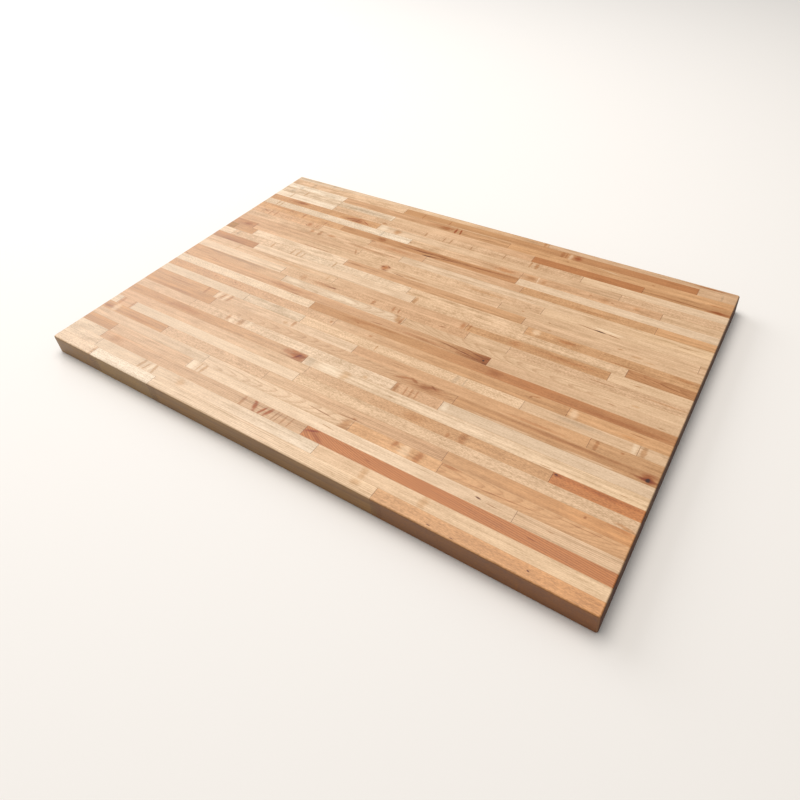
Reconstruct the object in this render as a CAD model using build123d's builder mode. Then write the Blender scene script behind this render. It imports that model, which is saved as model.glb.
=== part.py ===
from build123d import *
import os

# A rectangular maple butcher-block table top, edge-grain laid.
# Long strips lie side by side and are glued edge to edge.
# Each strip is made of staves of random length, finger-jointed end to end.
#
# Frame: origin at the middle of the underside, X along the strips,
# Y across them with the front edge at -Y, Z up. Millimetres.

# ---- driving dimensions -------------------------------------------------

LENGTH = 1220.0  # along the strips
WIDTH = 813.0  # across the strips
THICKNESS = 44.5

STRIP_WIDTH = 24.1  # a full strip; the last one at the back is ripped narrower
STRIP_COUNT = 34

TOP_ARRIS = 3.2  # round-over around the working face
BOTTOM_ARRIS = 1.6  # eased edge around the underside
CORNER_RADIUS = 4.5  # the four upright corners

FINGER_LENGTH = 20.0
FINGER_COUNT = 6  # fingers over the thickness
FINGER_TIP = 1.0  # blunt end of each finger
SHOULDER = 5.0  # square step at the top and bottom of every end joint
FINGER_CLEARANCE = 5.0  # least wood between the finger tips and a sawn end

TRIM = 2.0  # how far a blank runs past the finished outline before it is trimmed

# Where each strip's end joints lie, from the left end, on the working face.
# The first strip is at the front.
END_JOINTS = [
    [123, 300, 835],
    [107, 693],
    [92, 648],
    [94, 329, 1049],
    [350, 715, 900],
    [200, 489, 896],
    [23, 68, 546],
    [551, 1067],
    [528],
    [180, 726, 829],
    [219, 845],
    [204, 597, 1093],
    [275, 439, 957, 1171],
    [508, 1035],
    [425],
    [850],
    [300, 635],
    [277, 775, 869],
    [413, 760, 1066],
    [144, 612, 1092],
    [43, 585, 872],
    [28, 95, 389, 855],
    [74, 787, 1206],
    [394, 876],
    [499],
    [235, 391, 550, 804, 1102],
    [286, 781],
    [477, 780, 1098],
    [366, 1002],
    [203, 905],
    [203, 379, 775, 1036],
    [202, 700],
    [385, 1140],
    [164, 785],
]


# ---- helpers ------------------------------------------------------------


def comb(x):
    """The finger-joint line at x, from above the top face to below the underside.

    The joint starts and ends on a square shoulder, so the working face shows a
    straight line. Between the shoulders the fingers reach to +X, or to -X where
    the right-hand end of the top is too near for them.
    """
    fits = x + FINGER_LENGTH + FINGER_CLEARANCE < LENGTH / 2
    tip_x = x + (FINGER_LENGTH if fits else -FINGER_LENGTH)
    pitch = (THICKNESS - 2 * SHOULDER) / FINGER_COUNT
    points = [(x, THICKNESS + TRIM)]
    for finger in range(FINGER_COUNT):
        middle = THICKNESS - SHOULDER - (finger + 0.5) * pitch
        points.append((x, middle + pitch / 2 - FINGER_TIP / 2))
        points.append((tip_x, middle + FINGER_TIP / 2))
        points.append((tip_x, middle - FINGER_TIP / 2))
        points.append((x, middle - pitch / 2 + FINGER_TIP / 2))
    points.append((x, -TRIM))
    return points


def square_end(x):
    """The sawn end of a strip, left long for trimming."""
    return [(x, THICKNESS + TRIM), (x, -TRIM)]


# ---- the finished outline of the whole top ------------------------------

with BuildPart() as outline:
    with BuildSketch(Plane.XY):
        RectangleRounded(LENGTH, WIDTH, CORNER_RADIUS)
    extrude(amount=THICKNESS)
    fillet(outline.faces().sort_by(Axis.Z)[-1].edges(), TOP_ARRIS)
    fillet(outline.faces().sort_by(Axis.Z)[0].edges(), BOTTOM_ARRIS)


# ---- strips -------------------------------------------------------------


def make_stave(left, right, front, depth):
    """One stave between two end profiles, front to back, trimmed to the outline."""
    with BuildPart() as stave:
        with BuildSketch(Plane.XZ.offset(-front)):
            with BuildLine():
                Polyline(*left, *reversed(right), close=True)
            make_face()
        extrude(amount=-depth)
        add(outline.part, mode=Mode.INTERSECT)
    return stave.part


def strip_name(index):
    if index == 0:
        return "front_strip"
    if index == STRIP_COUNT - 1:
        return "back_strip"
    return f"strip_{index + 1:02d}"


os.makedirs("parts", exist_ok=True)

for index, joints in enumerate(END_JOINTS):
    first, last = index == 0, index == STRIP_COUNT - 1
    front = -WIDTH / 2 + index * STRIP_WIDTH
    back = WIDTH / 2 if last else front + STRIP_WIDTH
    if first:
        front -= TRIM
    if last:
        back += TRIM

    left_end, right_end = -LENGTH / 2 - TRIM, LENGTH / 2 + TRIM
    profiles = [square_end(left_end)]
    profiles += [comb(joint - LENGTH / 2) for joint in joints]
    profiles += [square_end(right_end)]
    staves = [
        make_stave(left, right, front, back - front)
        for left, right in zip(profiles, profiles[1:])
    ]

    strip = Compound(label=strip_name(index), children=staves)
    export_step(strip, f"parts/{strip.label}.step")
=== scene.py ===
"""The looks of a laminated hard-maple butcher block top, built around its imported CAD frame.

Every stave of every strip becomes a piece of its own, cut out of the strip's CAD mesh along its real
finger joints. It gets the wood that suits it: its tone, its figure and the knots, streaks and stains
that lie in it. Lengths along a strip are in millimetres from its left end, and everything handed to
Blender is in metres.
"""

import math
import random

import bmesh
import bpy
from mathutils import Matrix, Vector
from mathutils.bvhtree import BVHTree


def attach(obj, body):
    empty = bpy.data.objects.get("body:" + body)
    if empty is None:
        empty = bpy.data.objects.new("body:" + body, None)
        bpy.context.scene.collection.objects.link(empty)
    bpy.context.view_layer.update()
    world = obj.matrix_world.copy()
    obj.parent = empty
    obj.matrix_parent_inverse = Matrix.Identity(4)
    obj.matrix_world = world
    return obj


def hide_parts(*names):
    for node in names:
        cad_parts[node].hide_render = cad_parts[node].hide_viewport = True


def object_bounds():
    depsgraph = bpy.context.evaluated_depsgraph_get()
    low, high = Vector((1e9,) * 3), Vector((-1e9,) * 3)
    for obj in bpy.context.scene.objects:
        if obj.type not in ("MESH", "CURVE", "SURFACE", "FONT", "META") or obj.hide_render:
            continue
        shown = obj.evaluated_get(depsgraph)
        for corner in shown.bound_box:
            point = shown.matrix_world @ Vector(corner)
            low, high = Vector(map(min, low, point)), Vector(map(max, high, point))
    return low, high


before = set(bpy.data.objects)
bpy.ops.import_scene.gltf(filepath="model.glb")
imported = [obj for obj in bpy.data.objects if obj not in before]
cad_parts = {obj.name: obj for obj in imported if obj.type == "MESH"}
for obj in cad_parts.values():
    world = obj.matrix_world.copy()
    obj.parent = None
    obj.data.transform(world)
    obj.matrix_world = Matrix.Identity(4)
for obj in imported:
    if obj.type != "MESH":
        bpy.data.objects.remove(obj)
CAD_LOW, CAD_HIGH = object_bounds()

MM = 0.001
TOP = CAD_HIGH.z
EASED = 4.6 * MM  # no facet of a rounded edge or corner reaches deeper into the slab than this
GLUE_HALF = 0.3 * MM  # half of a glue line: real ones are thinner, drawn this wide so that they show


# ---------------------------------------------------------------------------------------------------
# Small helpers
# ---------------------------------------------------------------------------------------------------


def linear(hex_colour):
    """An sRGB hex colour as the linear red, green, blue and alpha that a shader takes."""
    parts = [int(hex_colour[i : i + 2], 16) / 255 for i in (1, 3, 5)]
    return [p / 12.92 if p <= 0.04045 else ((p + 0.055) / 1.055) ** 2.4 for p in parts] + [1.0]


def add(tree, kind, inputs=(), **settings):
    """Adds a node with its settings. Each input is a value or another node's output socket."""
    node = tree.nodes.new(kind)
    for name, value in settings.items():
        setattr(node, name, value)
    for key, value in dict(inputs).items():
        if isinstance(value, bpy.types.NodeSocket):
            tree.links.new(value, node.inputs[key])
        else:
            node.inputs[key].default_value = value
    return node


# ---------------------------------------------------------------------------------------------------
# Wood: tones, figures, and the staves that have them
# ---------------------------------------------------------------------------------------------------

# Sanded and oiled hard maple, from clean sapwood to the brownest heartwood.
TONES = {
    "milk": "#ddcab2",
    "cream": "#dbc1a3",
    "butter": "#dabb96",
    "ivory": "#d5ba9c",
    "pale": "#d5b592",
    "linen": "#cdb497",
    "sand": "#cfae8b",
    "wheat": "#c9a683",
    "tan": "#c59c76",
    "apricot": "#ca9c6f",
    "amber": "#c9915d",
    "honey": "#c09469",
    "cinnamon": "#b98b5f",
    "copper": "#b28054",
    "russet": "#b97845",
    "rust": "#ad7344",
    "umber": "#9f7038",
}

# How a stave was cut and how the tree grew: how strongly each of GRAIN's layers shows, how strong the
# growth lines are, how far apart (mm), how steeply they run out of the stave (degrees), and where the
# heart of the tree lay: beside the stave, which gives straight lines, below it, which gives arches, or
# aside, for a stave cut next to a knot, whose lines swing round.
FIGURES = {
    "plain": dict(
        bands=1.0, mottle=0.8, curl=0.1, fleck=0.8, fibre=1.0, pores=0.35,
        lines=0.2, rings=3.0, runout=0.5, heart="beside",
    ),
    "even": dict(
        bands=0.5, mottle=0.5, curl=0.0, fleck=0.8, fibre=0.9, pores=0.25,
        lines=0.15, rings=2.8, runout=0.4, heart="beside",
    ),
    "straight": dict(
        bands=1.1, mottle=0.6, curl=0.0, fleck=0.7, fibre=1.4, pores=0.55,
        lines=0.45, rings=3.2, runout=0.6, heart="beside",
    ),
    "flecked": dict(
        bands=0.7, mottle=0.8, curl=0.2, fleck=1.6, fibre=0.8, pores=0.2,
        lines=0.12, rings=2.8, runout=0.5, heart="beside",
    ),
    "curly": dict(
        bands=0.8, mottle=0.9, curl=0.6, fleck=1.45, fibre=0.8, pores=0.2,
        lines=0.12, rings=2.8, runout=0.8, heart="beside",
    ),
    "cloudy": dict(
        bands=0.8, mottle=1.6, curl=0.2, fleck=1.2, fibre=0.8, pores=0.2,
        lines=0.12, rings=2.8, runout=0.8, heart="beside",
    ),
    "arched": dict(
        bands=0.8, mottle=0.5, curl=0.0, fleck=0.8, fibre=0.9, pores=0.3,
        lines=0.4, rings=2.4, runout=4.0, heart="below",
    ),
    "swept": dict(
        bands=0.5, mottle=0.4, curl=0.0, fleck=0.7, fibre=0.9, pores=0.3,
        lines=0.8, rings=3.5, runout=5.5, heart="aside",
    ),
}

# Each strip's staves from the left end: the tone, or the tones at its two ends, and the figure.
STAVES = {
    "front_strip": ["ivory flecked", "milk flecked", "cream>cream>butter straight", "apricot>amber flecked"],
    "strip_02": ["linen>ivory cloudy", "linen>ivory>milk plain", "pale>butter plain"],
    "strip_03": ["linen cloudy", "tan>wheat>wheat straight", "russet swept"],
    "strip_04": ["cinnamon straight", "wheat straight", "ivory>cream>cream>sand plain", "sand straight"],
    "strip_05": ["wheat>linen plain", "ivory>pale arched", "apricot cloudy", "apricot arched"],
    "strip_06": ["cinnamon plain", "wheat flecked", "sand>tan straight", "honey>amber plain"],
    "strip_07": ["linen plain", "tan plain", "linen>cream even", "pale>sand>sand flecked"],
    "strip_08": ["tan>wheat>sand plain", "wheat>honey>honey flecked", "russet flecked"],
    "strip_09": ["cinnamon>honey>wheat straight", "cream>cream>butter plain"],
    "strip_10": ["wheat plain", "wheat>ivory>ivory curly", "tan curly", "linen>ivory even"],
    "strip_11": ["cinnamon plain", "wheat>wheat>honey arched", "cinnamon plain"],
    "strip_12": ["honey straight", "wheat>ivory plain", "tan>apricot even", "honey plain"],
    "strip_13": ["linen even", "linen cloudy", "pale flecked", "sand even", "sand plain"],
    "strip_14": ["cinnamon>tan>wheat flecked", "wheat>honey>cinnamon plain", "apricot plain"],
    "strip_15": ["linen>cream flecked", "cinnamon>cinnamon>rust>copper even"],
    "strip_16": ["honey>tan>tan>honey straight", "wheat>sand even"],
    "strip_17": ["cinnamon>wheat plain", "linen>ivory arched", "sand>sand>pale arched"],
    "strip_18": ["ivory plain", "wheat>tan flecked", "sand plain", "wheat flecked"],
    "strip_19": ["wheat>sand plain", "wheat>tan plain", "honey>cinnamon flecked", "pale even"],
    "strip_20": ["copper straight", "ivory plain", "sand curly", "copper arched"],
    "strip_21": ["ivory plain", "wheat>linen>ivory curly", "sand cloudy", "honey curly"],
    "strip_22": ["umber plain", "cinnamon plain", "ivory cloudy", "tan>honey straight", "wheat>sand plain"],
    "strip_23": ["copper plain", "tan>sand>sand>wheat plain", "sand straight", "wheat plain"],
    "strip_24": ["tan>wheat plain", "sand>wheat curly", "pale even"],
    "strip_25": ["wheat cloudy", "ivory>ivory>pale>butter straight"],
    "strip_26": ["tan curly", "sand plain", "tan plain", "wheat>tan plain", "honey flecked", "apricot plain"],
    "strip_27": ["honey curly", "cinnamon>copper straight", "ivory even"],
    "strip_28": ["linen>milk flecked", "sand>tan cloudy", "tan cloudy", "sand plain"],
    "strip_29": ["cinnamon>honey curly", "ivory>sand>wheat plain", "wheat flecked"],
    "strip_30": ["milk plain", "wheat curly", "pale>ivory even"],
    "strip_31": ["linen cloudy", "linen flecked", "sand>tan plain", "rust even", "cinnamon straight"],
    "strip_32": ["milk cloudy", "tan>honey straight", "apricot>honey>apricot plain"],
    "strip_33": ["wheat>sand cloudy", "cinnamon>cinnamon>copper>rust even", "wheat plain"],
    "back_strip": ["linen plain", "ivory>pale>honey plain", "wheat straight"],
}

# What lies in the wood: how it colours the wood, by what, how fully and how softly it ends.
KINDS = {
    "knot": ("MIX", "#2c0c02", 0.95, 0.5),
    "ember": ("MULTIPLY", "#d09a62", 0.95, 1.1),
    "streak": ("MULTIPLY", "#b08760", 0.9, 0.9),
    "dash": ("MULTIPLY", "#ccb090", 0.9, 0.9),
    "spot": ("MULTIPLY", "#80502c", 1.0, 0.8),
    "brown": ("MULTIPLY", "#dabb97", 0.9, 1.0),
    "bar": ("MULTIPLY", "#e0cab0", 0.9, 0.8),
    "dark_bar": ("MULTIPLY", "#cc8c4c", 1.0, 0.8),
    "heart": ("MULTIPLY", "#e4cfb8", 0.9, 1.1),
    "stain": ("MULTIPLY", "#ecddc9", 0.9, 1.0),
    "grey": ("MULTIPLY", "#e7e8e9", 1.0, 1.0),
    "light": ("SCREEN", "#8d7e6c", 1.0, 0.9),
}

# Where each lies: its kind, its middle along the strip and across it (0 front, 1 back), its length and
# width in mm, and its lean in degrees.
MARKS = {
    "front_strip": [
        ("bar", 119, 0.5, 8, 40, 0), ("spot", 942, 0.25, 9, 2, 0), ("spot", 984, 0.15, 9, 2, 0),
        ("spot", 1106, 0.55, 6, 3, -20), ("stain", 795, 0.6, 26, 16, 10),
    ],
    "strip_02": [
        ("bar", 244, 0.5, 9, 40, -12), ("bar", 259, 0.4, 6, 34, -14), ("bar", 280, 0.55, 9, 40, 10),
        ("light", 270, 0.5, 10, 30, -12), ("stain", 356, 0.5, 30, 26, 0), ("stain", 797, 0.5, 18, 40, 8),
        ("stain", 914, 0.5, 20, 40, 0),
    ],
    "strip_03": [
        ("stain", 133, 0.5, 44, 26, 0), ("dark_bar", 529, 0.55, 12, 34, 24),
        ("dark_bar", 549, 0.4, 7, 30, -24),
        ("dark_bar", 563, 0.55, 10, 34, -26), ("bar", 499, 0.5, 9, 36, 0), ("dash", 579, 0.5, 4, 36, -10),
        ("dash", 587, 0.5, 3, 36, -8), ("bar", 600, 0.5, 5, 40, -6), ("bar", 615, 0.5, 4, 40, -4),
        ("dark_bar", 662, 0.72, 40, 6, 20), ("brown", 680, 0.35, 50, 12, -24),
        ("dash", 1087, 0.55, 20, 3, -6), ("dash", 788, 0.5, 16, 3, -8),
    ],
    "strip_04": [
        ("light", 337, 0.5, 24, 60, 0), ("bar", 368, 0.5, 9, 40, -6), ("bar", 356, 0.5, 4, 40, 0),
        ("spot", 984, 0.62, 12, 3.5, -6), ("dash", 1010, 0.5, 26, 2.4, -4), ("dash", 680, 0.6, 40, 2.4, -4),
        ("dash", 1108, 0.6, 16, 2, 0),
    ],
    "strip_05": [
        ("streak", 650, 0.55, 90, 2.6, -4), ("brown", 706, 0.35, 30, 60, -16),
        ("brown", 808, 0.8, 14, 30, -10),
        ("light", 830, 0.5, 26, 60, -10), ("brown", 858, 0.5, 20, 60, -8),
        ("brown", 917, 0.85, 44, 9, 0), ("dash", 1010, 0.35, 170, 2.4, 3), ("dash", 1150, 0.8, 120, 2, 0),
    ],
    "strip_06": [
        ("brown", 16, 0.4, 34, 14, 0), ("light", 39, 0.5, 20, 50, 0), ("stain", 120, 0.3, 120, 10, 0),
        ("brown", 712, 0.2, 13, 8, 0), ("dash", 1143, 0.65, 7, 6, 40), ("dash", 700, 0.1, 60, 2.4, 3),
        ("heart", 1192, 0.95, 60, 9, -8),
    ],
    "strip_07": [("bar", 30, 0.5, 12, 40, 0), ("bar", 64, 0.5, 5, 40, 0), ("brown", 1203, 0.15, 48, 9, -8)],
    "strip_08": [
        ("bar", 903, 0.5, 20, 40, 0), ("bar", 876, 0.2, 9, 16, 0), ("spot", 1072, 0.85, 9, 4, -10),
        ("brown", 1075, 0.8, 18, 10, 0), ("heart", 1150, 0.8, 200, 14, 0),
        ("stain", 800, 0.5, 60, 22, 0),
    ],
    "strip_09": [
        ("ember", 502, 0.55, 80, 34, -12), ("ember", 519, 0.6, 30, 30, 0),
        ("dark_bar", 508, 0.4, 5, 30, -40), ("grey", 542, 0.5, 28, 40, 0),
        ("light", 588, 0.5, 66, 60, 0), ("stain", 628, 0.5, 26, 40, 0), ("dash", 1052, 0.12, 30, 2.6, 0),
        ("dash", 738, 0.4, 16, 2.4, 0), ("heart", 180, 0.5, 180, 20, 0), ("dash", 1180, 0.4, 16, 2, 0),
    ],
    "strip_10": [
        ("brown", 291, 0.5, 12, 28, 0), ("light", 305, 0.3, 14, 20, 30), ("bar", 328, 0.5, 18, 34, 0),
        ("light", 350, 0.6, 14, 30, 0), ("stain", 664, 0.2, 14, 12, 0), ("bar", 731, 0.5, 8, 40, 6),
        ("bar", 752, 0.5, 4, 40, 6), ("bar", 764, 0.5, 6, 40, 6), ("bar", 776, 0.5, 4, 40, 6),
        ("light", 837, 0.5, 16, 26, 0),
    ],
    "strip_11": [
        ("heart", 780, 0.5, 150, 30, 0), ("brown", 752, 0.8, 40, 9, -30),
        ("brown", 730, 0.7, 50, 8, 16), ("brown", 790, 0.65, 60, 12, 12), ("brown", 795, 0.8, 24, 5, -30),
        ("heart", 1060, 0.75, 330, 12, 0), ("light", 950, 0.1, 160, 5, 0), ("light", 1110, 0.1, 120, 5, 0),
        ("ember", 1204, 0.5, 34, 34, 0), ("ember", 1200, 0.35, 60, 9, 0),
        ("ember", 1204, 0.36, 15, 17, 0), ("knot", 1203, 0.35, 7, 10, -14),
        ("stain", 100, 0.2, 200, 8, 0),
    ],
    "strip_12": [
        ("stain", 90, 0.35, 150, 6, 0), ("bar", 174, 0.5, 9, 40, 0), ("light", 212, 0.5, 14, 36, -14),
        ("brown", 225, 0.5, 7, 36, -14), ("light", 235, 0.5, 8, 36, -14), ("brown", 246, 0.6, 10, 40, -8),
        ("brown", 434, 0.6, 10, 28, 0), ("stain", 415, 0.4, 16, 12, 0), ("heart", 1000, 0.2, 160, 9, 0),
        ("brown", 1150, 0.7, 9, 5, 0), ("bar", 1106, 0.5, 9, 40, 0),
    ],
    "strip_13": [
        ("grey", 820, 0.5, 14, 34, -8), ("grey", 838, 0.5, 5, 30, 0), ("bar", 633, 0.5, 5, 20, 0),
        ("grey", 1060, 0.7, 130, 16, 0), ("light", 1164, 0.5, 12, 40, 0), ("bar", 1180, 0.5, 12, 40, 0),
    ],
    "strip_14": [
        ("brown", 231, 0.5, 6, 5, 0), ("brown", 212, 0.7, 8, 5, 0), ("brown", 150, 0.6, 8, 6, 0),
        ("brown", 500, 0.4, 8, 10, 0), ("brown", 602, 0.5, 12, 6, 0), ("brown", 973, 0.8, 22, 5, 10),
        ("dash", 962, 0.6, 10, 6, 40), ("light", 1046, 0.5, 20, 34, 0), ("stain", 1150, 0.3, 60, 8, 0),
        ("dash", 1160, 0.75, 60, 2.6, 0),
    ],
    "strip_15": [
        ("stain", 552, 0.6, 80, 12, 0), ("brown", 553, 0.4, 8, 4, 0), ("heart", 875, 0.5, 44, 30, 0),
        ("heart", 1130, 0.3, 240, 14, 0), ("stain", 600, 0.8, 160, 8, 0),
    ],
    "strip_16": [
        ("dash", 95, 0.7, 60, 2.4, -6), ("streak", 10, 0.2, 20, 3, -8), ("heart", 330, 0.5, 160, 18, 0),
        ("dash", 365, 0.1, 30, 2.4, 0), ("dash", 590, 0.2, 40, 3, 4), ("brown", 830, 0.5, 150, 60, 0),
        ("brown", 850, 0.5, 60, 60, 0), ("dash", 770, 0.6, 130, 3, -8), ("dash", 800, 0.45, 100, 3, -9),
        ("dash", 805, 0.25, 80, 3, -6), ("dash", 815, 0.8, 70, 3, -12),
        ("knot", 840, 0.4, 6, 4.5, 0), ("dash", 1095, 0.75, 24, 2.6, -4),
        ("dash", 1188, 0.2, 16, 2.4, 0), ("heart", 700, 0.3, 180, 10, 0),
    ],
    "strip_17": [
        ("grey", 150, 0.8, 260, 10, 0), ("light", 330, 0.6, 60, 14, 0), ("light", 470, 0.5, 140, 16, 0),
        ("brown", 622, 0.5, 22, 60, 30), ("brown", 630, 0.5, 9, 60, 0),
        ("stain", 1135, 0.4, 18, 6, 0),
    ],
    "strip_18": [
        ("stain", 340, 0.5, 26, 26, 0), ("heart", 400, 0.45, 90, 14, 0), ("streak", 428, 0.45, 34, 4.5, 4),
        ("brown", 540, 0.5, 12, 20, 0), ("brown", 593, 0.5, 8, 26, 10), ("brown", 607, 0.5, 5, 24, 10),
        ("dash", 716, 0.5, 22, 5, 12), ("dash", 1060, 0.55, 60, 3, 0), ("heart", 1180, 0.6, 120, 6, 0),
    ],
    "strip_19": [
        ("stain", 107, 0.4, 7, 26, 0), ("stain", 250, 0.6, 280, 7, -1), ("stain", 392, 0.5, 8, 24, 0),
        ("brown", 752, 0.45, 16, 28, 0), ("bar", 768, 0.5, 5, 40, 0), ("heart", 872, 0.5, 40, 24, 0),
        ("heart", 980, 0.5, 180, 14, 0), ("dash", 1122, 0.5, 20, 3, 8), ("light", 800, 0.9, 200, 5, 0),
    ],
    "strip_20": [
        ("bar", 618, 0.5, 12, 30, 0), ("heart", 70, 0.2, 120, 12, 0), ("dash", 1170, 0.5, 90, 3, -8),
    ],
    "strip_21": [
        ("grey", 60, 0.5, 14, 40, 0), ("bar", 180, 0.4, 7, 34, 4), ("bar", 245, 0.4, 6, 34, 0),
        ("bar", 262, 0.4, 8, 34, 0), ("bar", 278, 0.4, 5, 34, 0), ("bar", 372, 0.6, 6, 26, 0),
        ("brown", 960, 0.6, 60, 14, 0), ("heart", 1190, 0.75, 70, 12, 0), ("dash", 1080, 0.15, 160, 3, 0),
        ("light", 895, 0.6, 24, 24, 0),
    ],
    "strip_22": [
        ("stain", 420, 0.6, 50, 8, 0), ("brown", 914, 0.35, 9, 4, 10), ("dash", 1058, 0.9, 14, 3, 10),
        ("stain", 1094, 0.6, 30, 9, 8), ("stain", 1120, 0.4, 30, 5, 0),
    ],
    "strip_23": [
        ("brown", 50, 0.5, 30, 20, 0), ("bar", 73, 0.5, 4, 40, 0), ("streak", 280, 0.12, 140, 2.6, 0),
        ("ember", 486, 0.5, 34, 30, 0), ("streak", 494, 0.78, 14, 5, -30), ("streak", 479, 0.6, 5, 12, -30),
        ("streak", 490, 0.15, 20, 4, 4), ("streak", 530, 0.1, 50, 3, -6), ("brown", 840, 0.7, 9, 4, 0),
        ("dash", 905, 0.3, 7, 4, 0), ("heart", 560, 0.3, 110, 9, 0),
    ],
    "strip_24": [
        ("bar", 384, 0.4, 6, 24, 30), ("stain", 740, 0.5, 160, 12, 0), ("streak", 974, 0.29, 50, 3, -4),
        ("streak", 1006, 0.22, 40, 5, -3), ("knot", 1007, 0.22, 24, 2.8, -3),
        ("streak", 1034, 0.16, 34, 3, -6),
        ("light", 1020, 0.5, 70, 8, -2),
    ],
    "strip_25": [
        ("brown", 225, 0.5, 16, 22, 0), ("bar", 250, 0.5, 12, 24, 0), ("brown", 285, 0.65, 36, 10, 4),
        ("heart", 400, 0.35, 170, 9, -1), ("dash", 470, 0.4, 50, 3, 0), ("dash", 1170, 0.5, 50, 2.6, 4),
        ("dash", 830, 0.45, 60, 2, 0),
    ],
    "strip_26": [
        ("brown", 45, 0.6, 24, 7, -20), ("bar", 62, 0.5, 6, 34, 0), ("bar", 80, 0.5, 8, 34, 0),
        ("brown", 198, 0.45, 16, 24, 0), ("spot", 192, 0.2, 5, 4, -30), ("brown", 222, 0.5, 5, 24, 0),
        ("streak", 392, 0.9, 20, 4, 6), ("heart", 470, 0.5, 130, 16, 0), ("stain", 960, 0.3, 120, 9, 0),
        ("brown", 885, 0.05, 10, 4, 0),
    ],
    "strip_27": [
        ("stain", 80, 0.75, 140, 10, 0), ("brown", 157, 0.55, 9, 28, 0), ("bar", 232, 0.4, 4, 30, 0),
        ("brown", 410, 0.6, 34, 24, 0), ("heart", 560, 0.7, 240, 12, -2), ("streak", 520, 0.55, 100, 5, 0),
        ("streak", 560, 0.2, 56, 4.5, 6), ("knot", 545, 0.12, 26, 2.4, 4), ("streak", 610, 0.45, 80, 4, 6),
        ("brown", 700, 0.65, 160, 5, 3),
    ],
    "strip_28": [
        ("bar", 45, 0.5, 6, 40, 0), ("bar", 58, 0.5, 5, 40, 0), ("grey", 393, 0.5, 9, 40, 0),
        ("streak", 481, 0.4, 9, 4, -30), ("brown", 740, 0.5, 80, 18, 0), ("stain", 803, 0.5, 30, 26, 0),
        ("light", 821, 0.5, 5, 36, 6), ("stain", 835, 0.4, 16, 24, 0), ("brown", 944, 0.6, 8, 5, 20),
        ("stain", 975, 0.4, 30, 20, 0), ("dash", 994, 0.4, 8, 4, 0), ("stain", 1045, 0.6, 20, 16, 0),
    ],
    "strip_29": [
        ("heart", 100, 0.6, 90, 24, 0), ("brown", 112, 0.7, 50, 12, 0), ("heart", 300, 0.45, 110, 26, 0),
        ("dark_bar", 276, 0.5, 34, 3, 24), ("dark_bar", 300, 0.75, 44, 3, 4),
        ("dark_bar", 300, 0.5, 36, 3, 0),
        ("dark_bar", 326, 0.45, 30, 3, -26), ("dark_bar", 300, 0.25, 60, 4, 0),
        ("light", 382, 0.5, 26, 40, 0),
        ("brown", 424, 0.5, 28, 26, 0), ("stain", 255, 0.3, 30, 12, 0),
    ],
    "strip_30": [
        ("bar", 52, 0.5, 6, 30, 0), ("bar", 370, 0.3, 16, 12, 0), ("bar", 494, 0.5, 5, 26, 0),
        ("dash", 547, 0.5, 4, 28, 0), ("dash", 566, 0.5, 4, 28, 0), ("dash", 624, 0.4, 4, 24, 0),
        ("brown", 796, 0.5, 12, 34, 0), ("bar", 780, 0.5, 6, 34, 0), ("dash", 712, 0.5, 3, 30, 0),
    ],
    "strip_31": [
        ("grey", 35, 0.5, 24, 26, 0), ("bar", 84, 0.5, 8, 34, 0), ("grey", 290, 0.5, 160, 18, 0),
        ("light", 375, 0.5, 8, 36, 0), ("brown", 1110, 0.35, 140, 4, -2), ("ember", 1195, 0.25, 70, 14, 0),
    ],
    "strip_32": [
        ("grey", 48, 0.5, 14, 24, 0), ("stain", 40, 0.05, 220, 4, 0), ("brown", 525, 0.5, 44, 22, 0),
        ("dark_bar", 552, 0.5, 7, 34, 6), ("dark_bar", 566, 0.5, 6, 34, 12), ("dash", 640, 0.4, 80, 2.4, 5),
        ("heart", 520, 0.6, 140, 14, 0), ("brown", 851, 0.6, 11, 4, 0), ("brown", 1050, 0.6, 10, 4, 0),
        ("light", 950, 0.8, 60, 4, -6), ("brown", 1190, 0.1, 70, 5, 0),
    ],
    "strip_33": [
        ("grey", 75, 0.5, 14, 30, 0), ("bar", 443, 0.4, 4, 34, 0), ("bar", 521, 0.4, 4, 34, 0),
        ("bar", 829, 0.5, 12, 30, 0), ("brown", 838, 0.5, 4, 34, 0), ("light", 849, 0.5, 12, 36, 0),
        ("ember", 868, 0.5, 26, 30, 0), ("light", 600, 0.1, 300, 4, 0), ("grey", 1190, 0.5, 6, 34, 0),
    ],
    "back_strip": [
        ("grey", 30, 0.5, 60, 12, 0), ("grey", 745, 0.3, 70, 14, 0), ("bar", 776, 0.5, 8, 30, 0),
        ("ember", 1160, 0.6, 120, 6, 0), ("grey", 130, 0.6, 12, 12, 0),
    ],
}

# The layers of the grain, each as the size of its lumps in mm along, across and down a stave, and how
# much finer detail they hold. Real fibres are a tenth of this width, drawn coarser so that they show.
GRAIN = {
    "bands": ((520, 6, 10), 1.0),
    "mottle": ((46, 12, 18), 2.0),
    "curl": ((9, 50, 60), 2.0),
    "fleck": ((4.5, 1.5, 2.4), 1.0),
    "fibre": ((55, 1.8, 1.8), 2.0),
}

# Beside a knot the growth lines are pushed this far sideways, fading over this length along the stave.
SWING = 45 * MM
SWING_REACH = 70 * MM


# ---------------------------------------------------------------------------------------------------
# The staves' shapes
# ---------------------------------------------------------------------------------------------------


def closed_shells(mesh):
    """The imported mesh's faces in groups, one per stave: a group ends when its surface has closed."""
    corner = [tuple(round(c * 1e6) for c in v.co) for v in mesh.vertices]
    open_edges, faces, shells = set(), [], []
    for face in mesh.polygons:
        around = [corner[i] for i in face.vertices]
        faces.append(around)
        for a, b in zip(around, around[1:] + around[:1]):
            if (b, a) in open_edges:
                open_edges.remove((b, a))
            else:
                open_edges.add((a, b))
        if not open_edges:
            shells.append(faces)
            faces = []
    return shells


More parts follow.
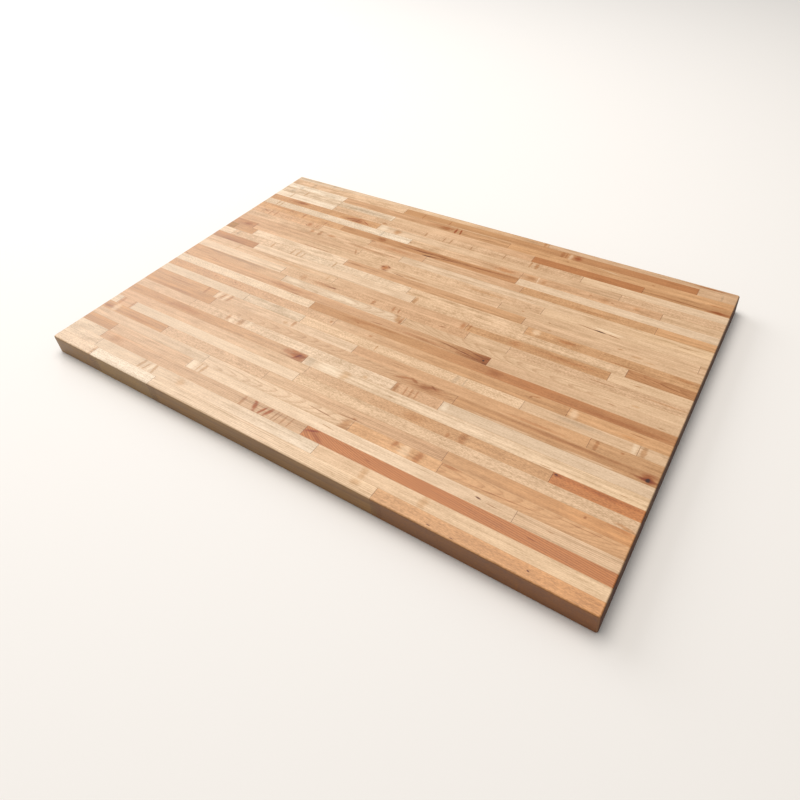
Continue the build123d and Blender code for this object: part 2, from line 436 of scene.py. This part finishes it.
def on_skin(face):
    """Whether a face is part of the slab's outside, and not glued to another stave."""
    for axis in range(3):
        for side in (CAD_LOW[axis], CAD_HIGH[axis]):
            if all(abs(v.co[axis] - side) < EASED for v in face.verts):
                return True
    return False


def stave_mesh(name, shell):
    """One stave's closed mesh: flat faces in one piece, and a narrow rim of glue line where it meets its
    neighbours. The rim's material slot tells long joints (1) from end joints (2)."""
    bm = bmesh.new()
    points = {p: bm.verts.new([c / 1e6 for c in p]) for p in {p for face in shell for p in face}}
    for face in shell:
        bm.faces.new([points[p] for p in face])
    bm.normal_update()
    bmesh.ops.dissolve_limit(bm, angle_limit=math.radians(0.5), verts=bm.verts, edges=bm.edges)
    surface = BVHTree.FromBMesh(bm)
    skin = [f for f in bm.faces if on_skin(f)]
    rim = bmesh.ops.inset_region(bm, faces=skin, thickness=GLUE_HALF, use_even_offset=True)["faces"]
    inner = set(bm.faces) - set(skin) - set(rim)
    for face in rim:
        glued = inner.intersection(f for e in face.edges for f in e.link_faces)
        face.material_index = 1 if all(abs(f.normal.y) > 0.9 for f in glued) else 2
    for vert in {v for face in rim for v in face.verts}:
        vert.co = surface.find_nearest(vert.co)[0]
    for face in bm.faces:
        face.smooth = True
    mesh = bpy.data.meshes.new(name)
    bm.to_mesh(mesh)
    bm.free()
    mesh.set_sharp_from_angle(angle=math.radians(35))
    return mesh


# ---------------------------------------------------------------------------------------------------
# Materials
# ---------------------------------------------------------------------------------------------------


def new_material(name):
    """An empty node material and its output node."""
    material = bpy.data.materials.new(name)
    material.use_nodes = True
    material.node_tree.nodes.clear()
    return material, add(material.node_tree, "ShaderNodeOutputMaterial")


def grain_shade(tree, place, figure, dice):
    """How light the wood is from place to place, about 0.5: the layers of its grain added up. The
    second output is the finest layer alone, for the bump of the sanded fibres."""
    shade = 0.5 - sum(figure[layer] for layer in GRAIN) / 2
    for layer, (size, detail) in GRAIN.items():
        offset = [dice.uniform(-500, 500) for _ in range(3)]
        lean = [0, 0, math.radians(dice.uniform(-12, 12)) if layer == "curl" else 0]
        spot = add(tree, "ShaderNodeMapping", {"Vector": place, "Rotation": lean})
        spot = add(
            tree,
            "ShaderNodeVectorMath",
            {0: spot.outputs["Vector"], 1: [1 / (mm * MM) for mm in size], 2: offset},
            operation="MULTIPLY_ADD",
        )
        lumps = add(
            tree,
            "ShaderNodeTexNoise",
            {"Vector": spot.outputs["Vector"], "Scale": 1.0, "Detail": detail, "Roughness": 0.5},
        )
        weight = figure[layer]
        shade = add(
            tree,
            "ShaderNodeMath",
            {0: lumps.outputs["Fac"], 1: weight, 2: shade},
            operation="MULTIPLY_ADD",
        ).outputs["Value"]
    return shade, lumps.outputs["Fac"]


def growth_lines(tree, place, low, high, figure, dice):
    """The thin brown lines where a year's growth ended: rings round the heart of the tree, which lay
    beside the stave or below it and not quite in line with it. A swept stave was cut next to a knot,
    and its lines swing round from its left end."""
    middle = (low + high) / 2
    far, near = dice.uniform(50, 90) * MM, dice.uniform(20, 30) * MM
    aside = dice.uniform(-8, 8) * MM
    side, below = {
        "beside": (far * dice.choice((-1, 1)), aside),
        "below": (aside, -near),
        "aside": (-far, aside),
    }[figure["heart"]]
    runout = math.radians(figure["runout"]) * (1 if figure["heart"] == "aside" else dice.choice((-1, 1)))
    if figure["heart"] == "aside":
        fade = add(
            tree,
            "ShaderNodeMapping",
            {"Vector": place, "Location": (low.x / SWING_REACH, 0, 0), "Scale": (-1 / SWING_REACH, 0, 0)},
        )
        fade = add(tree, "ShaderNodeSeparateXYZ", {"Vector": fade.outputs["Vector"]})
        fade = add(tree, "ShaderNodeMath", {0: fade.outputs["X"]}, operation="EXPONENT")
        swing = add(
            tree, "ShaderNodeMath", {0: fade.outputs["Value"], 1: -SWING}, operation="MULTIPLY"
        )
        swing = add(tree, "ShaderNodeCombineXYZ", {"Y": swing.outputs["Value"]})
        place = add(
            tree, "ShaderNodeVectorMath", {0: place, 1: swing.outputs["Vector"]}, operation="ADD"
        ).outputs["Vector"]
    turned = add(
        tree,
        "ShaderNodeMapping",
        {
            "Vector": place,
            "Location": (middle.x, middle.y + side, TOP + below),
            "Rotation": (0, runout, runout) if figure["heart"] == "below" else (0, 0, -runout),
        },
        vector_type="TEXTURE",
    )
    step = figure["rings"] * MM
    spaced = add(
        tree,
        "ShaderNodeVectorMath",
        {0: turned.outputs["Vector"], 1: (1 / (60 * MM), 1 / step, 1 / step)},
        operation="MULTIPLY",
    )
    rings = add(
        tree,
        "ShaderNodeTexWave",
        {
            "Vector": spaced.outputs["Vector"],
            "Scale": 2 * math.pi / 20,
            "Distortion": 4.0,
            "Detail": 2.0,
            "Detail Scale": 0.5,
        },
        wave_type="RINGS",
        rings_direction="X",
        wave_profile="SAW",
    )
    return add(
        tree,
        "ShaderNodeMapRange",
        {"Value": rings.outputs["Fac"], "From Min": 0.5, "From Max": 0.95, "To Max": figure["lines"]},
        interpolation_type="SMOOTHSTEP",
    ).outputs["Result"]


def lay_mark(tree, place, colour, wobble, low, high, mark):
    """A knot, streak or stain laid into the wood's colour: an ellipsoid with a wavering, soft edge."""
    kind, along, across, length, width, lean = mark
    blend, tint, cover, softness = KINDS[kind]
    middle = (CAD_LOW.x + along * MM, low.y + across * (high.y - low.y), TOP)
    local = add(
        tree,
        "ShaderNodeMapping",
        {
            "Vector": place,
            "Location": middle,
            "Rotation": (0, 0, math.radians(lean)),
            "Scale": (length / 2 * MM, width / 2 * MM, max(8, width) * MM),
        },
        vector_type="TEXTURE",
    )
    reach = add(tree, "ShaderNodeVectorMath", {0: local.outputs["Vector"]}, operation="LENGTH")
    edge = add(tree, "ShaderNodeMath", {0: reach.outputs["Value"], 1: wobble}, operation="ADD")
    inside = add(
        tree,
        "ShaderNodeMapRange",
        {"Value": edge.outputs["Value"], "From Min": 1.15, "From Max": 1.15 - softness, "To Max": cover},
        interpolation_type="SMOOTHSTEP",
    )
    laid = add(
        tree,
        "ShaderNodeMix",
        {0: inside.outputs["Result"], 6: colour, 7: linear(tint)},
        data_type="RGBA",
        blend_type=blend,
    )
    return laid.outputs[2]


def oiled_and_shaded_sides(tree, facing, colour):
    """The colour, browner on the sawn front and back, which is painted shade, and darkest on the ends, which
    is painted shade over end grain that really does soak up more oil and go darker.
    The second output is 1 on the ends."""
    facing = add(tree, "ShaderNodeSeparateXYZ", {"Vector": facing})
    # Painted shade: the front and back are multiplied by #ab8f58, and the ends by #6b5038, far darker than
    # their oiled end grain alone would be.
    for axis, start, stain in (("Y", 0.72, "#ab8f58"), ("X", 0.25, "#6b5038")):
        turned = add(tree, "ShaderNodeMath", {0: facing.outputs[axis]}, operation="ABSOLUTE")
        side = add(
            tree,
            "ShaderNodeMapRange",
            {"Value": turned.outputs["Value"], "From Min": start, "From Max": 0.95},
        )
        colour = add(
            tree,
            "ShaderNodeMix",
            {0: side.outputs["Result"], 6: colour, 7: linear(stain)},
            data_type="RGBA",
            blend_type="MULTIPLY",
        ).outputs[2]
    return colour, side.outputs["Result"]


def hard_maple(name, low, high, wood, marks):
    """Hard maple, sanded fine and oiled: pale and close-grained, with the soft satin of a wiped-on finish
    that is a little glossier on the dense lines. The sawn ends are dark, partly from their end grain and
    partly from painted shade, and nearly matt; the front and back carry painted shade as well."""
    dice = random.Random(name)
    tones, figure = wood.split()
    tones = [linear(TONES[tone]) for tone in tones.split(">")]
    figure = FIGURES[figure]
    material, out = new_material(f"hard_maple_{name}")
    tree = material.node_tree
    where = add(tree, "ShaderNodeTexCoord")
    place = where.outputs["Object"]

    along = add(tree, "ShaderNodeSeparateXYZ", {"Vector": place})
    way = add(
        tree,
        "ShaderNodeMapRange",
        {"Value": along.outputs["X"], "From Min": low.x, "From Max": high.x},
    )
    tone = add(tree, "ShaderNodeValToRGB", {"Fac": way.outputs["Result"]})
    stops = tone.color_ramp.elements
    stops.remove(stops[1])
    stops[0].color = tones[0]
    for number, colour in enumerate(tones[1:], start=1):
        stops.new(number / (len(tones) - 1)).color = colour
    shade, fibres = grain_shade(tree, place, figure, dice)
    tint = add(
        tree,
        "ShaderNodeMix",
        {0: shade, 6: (0.72, 0.66, 0.57, 1), 7: (1.28, 1.34, 1.43, 1)},
        data_type="RGBA",
    )
    colour = add(
        tree,
        "ShaderNodeMix",
        {0: 1.0, 6: tone.outputs["Color"], 7: tint.outputs[2]},
        data_type="RGBA",
        blend_type="MULTIPLY",
    )
    lines = growth_lines(tree, place, low, high, figure, dice)
    pores = add(
        tree,
        "ShaderNodeMapRange",
        {"Value": fibres, "From Min": 0.56, "From Max": 0.74, "To Max": figure["pores"]},
        interpolation_type="SMOOTHSTEP",
    )
    drawn = add(tree, "ShaderNodeMath", {0: lines, 1: pores.outputs["Result"]}, operation="MAXIMUM")
    colour = add(
        tree,
        "ShaderNodeMix",
        {0: drawn.outputs["Value"], 6: colour.outputs[2], 7: linear("#cdb59c")},
        data_type="RGBA",
        blend_type="MULTIPLY",
    ).outputs[2]

    if marks:
        fray = add(
            tree,
            "ShaderNodeVectorMath",
            {0: place, 1: (1 / (16 * MM), 1 / (5 * MM), 1 / (9 * MM))},
            operation="MULTIPLY",
        )
        frayed = add(
            tree, "ShaderNodeTexNoise", {"Vector": fray.outputs["Vector"], "Scale": 1.0, "Detail": 2.0}
        )
        wobble = add(
            tree,
            "ShaderNodeMapRange",
            {"Value": frayed.outputs["Fac"], "To Min": -0.5, "To Max": 0.5},
        )
        for mark in marks:
            colour = lay_mark(tree, place, colour, wobble.outputs["Result"], low, high, mark)

    # Painted shade on the stave's front, back and ends, over the real darker end grain.
    colour, sawn_end = oiled_and_shaded_sides(tree, where.outputs["Normal"], colour)
    polish = add(tree, "ShaderNodeMapRange", {"Value": shade, "To Min": 0.36, "To Max": 0.5})
    polish = add(
        tree,
        "ShaderNodeMath",
        {0: sawn_end, 1: 0.45, 2: polish.outputs["Result"]},
        operation="MULTIPLY_ADD",
    )
    nap = add(
        tree, "ShaderNodeBump", {"Strength": 0.12, "Distance": 0.15 * MM, "Height": fibres}
    )
    finish = add(
        tree,
        "ShaderNodeBsdfPrincipled",
        {
            "Base Color": colour,
            "Roughness": polish.outputs["Value"],
            "IOR": 1.48,
            "Normal": nap.outputs["Normal"],
        },
    )
    tree.links.new(finish.outputs["BSDF"], out.inputs["Surface"])
    return material


def glue_line(name, colour):
    """Dried wood glue in a joint scraped and sanded flush: a thin line, amber along a strip and dark brown
    across it, as satin as the wood, and with the same painted shade as the wood on the front, back and ends."""
    material, out = new_material(name)
    tree = material.node_tree
    facing = add(tree, "ShaderNodeTexCoord").outputs["Normal"]
    # Painted shade on the glue line's front, back and ends, as on the wood.
    colour, sawn_end = oiled_and_shaded_sides(tree, facing, linear(colour))
    line = add(tree, "ShaderNodeBsdfPrincipled", {"Base Color": colour, "Roughness": 0.5})
    tree.links.new(line.outputs["BSDF"], out.inputs["Surface"])
    return material


# ---------------------------------------------------------------------------------------------------
# The slab
# ---------------------------------------------------------------------------------------------------


def build_strip(node, woods, marks, long_joint, end_joint):
    """Every stave of one strip as its own piece, from the left end."""
    shells = closed_shells(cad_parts[node].data)
    for number, (shell, wood) in enumerate(zip(shells, woods, strict=True), start=1):
        name = f"{node}_stave_{number}"
        stave = bpy.data.objects.new(name, stave_mesh(name, shell))
        bpy.context.scene.collection.objects.link(stave)
        low, high = Vector(stave.bound_box[0]), Vector(stave.bound_box[6])
        own = [mark for mark in marks if low.x < CAD_LOW.x + mark[1] * MM < high.x]
        for material in (hard_maple(name, low, high, wood, own), long_joint, end_joint):
            stave.data.materials.append(material)
        evened = stave.modifiers.new("evened_normals", "WEIGHTED_NORMAL")
        evened.keep_sharp = True
        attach(stave, "root")
        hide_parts(node)


# ---------------------------------------------------------------------------------------------------
# Floor, light and camera
# ---------------------------------------------------------------------------------------------------


def floor():
    """A plain pale floor that runs out of sight."""
    bpy.ops.mesh.primitive_plane_add(size=60, location=(0, 0, 0))
    plane = bpy.context.object
    plane.name = "floor"
    material, out = new_material("matt_white_paint")
    paint = add(
        material.node_tree,
        "ShaderNodeBsdfPrincipled",
        {"Base Color": linear("#ebebeb"), "Roughness": 0.9, "Specular IOR Level": 0.1},
    )
    material.node_tree.links.new(paint.outputs["BSDF"], out.inputs["Surface"])
    plane.data.materials.append(material)


def softbox(name, place, target, width, height, power, colour):
    """A rectangular studio lamp at a place, turned to a target."""
    lamp = bpy.data.lights.new(name, "AREA")
    lamp.shape = "RECTANGLE"
    lamp.size, lamp.size_y = width, height
    lamp.energy = power
    lamp.color = linear(colour)[:3]
    holder = bpy.data.objects.new(name, lamp)
    holder.location = place
    holder.rotation_euler = (Vector(target) - Vector(place)).to_track_quat("-Z", "Y").to_euler()
    holder.visible_camera = False
    bpy.context.scene.collection.objects.link(holder)


def light():
    """A wide softbox overhead, a window-like one low on the left whose sheen lies on the oiled wood, and
    a dim room around them."""
    softbox("overhead_softbox", (-0.6, 0.5, 4.2), (0, 0, 0), 3.2, 3.2, 155, "#fff6ec")
    softbox("window_softbox", (-4.3, 1.2, 2.5), (-0.3, 0, 0), 3.6, 3.0, 118, "#ffffff")
    world = bpy.data.worlds.new("studio")
    world.use_nodes = True
    world.node_tree.nodes["Background"].inputs["Color"].default_value = linear("#f4f2ee")
    world.node_tree.nodes["Background"].inputs["Strength"].default_value = 0.35
    bpy.context.scene.world = world


def camera():
    """A standing person's view from the front right, over the front corner."""
    lens = bpy.data.cameras.new("camera")
    lens.sensor_width = 36
    lens.lens = 30.03
    lens.shift_x, lens.shift_y = -0.0426, -0.0993
    lens.clip_end = 200
    eye = bpy.data.objects.new("camera", lens)
    eye.location = (0.6873, -0.8776, 0.9288)
    eye.rotation_euler = [math.radians(a) for a in (50.82, 2.72, 31.73)]
    bpy.context.scene.collection.objects.link(eye)
    bpy.context.scene.camera = eye


# ---------------------------------------------------------------------------------------------------
# Everything
# ---------------------------------------------------------------------------------------------------

long_joint = glue_line("glue_line_along", "#c09a72")
end_joint = glue_line("glue_line_across", "#5c260e")
for strip, woods in STAVES.items():
    build_strip(strip, woods, MARKS[strip], long_joint, end_joint)
floor()
light()
camera()
bpy.context.scene.view_settings.view_transform = "Standard"
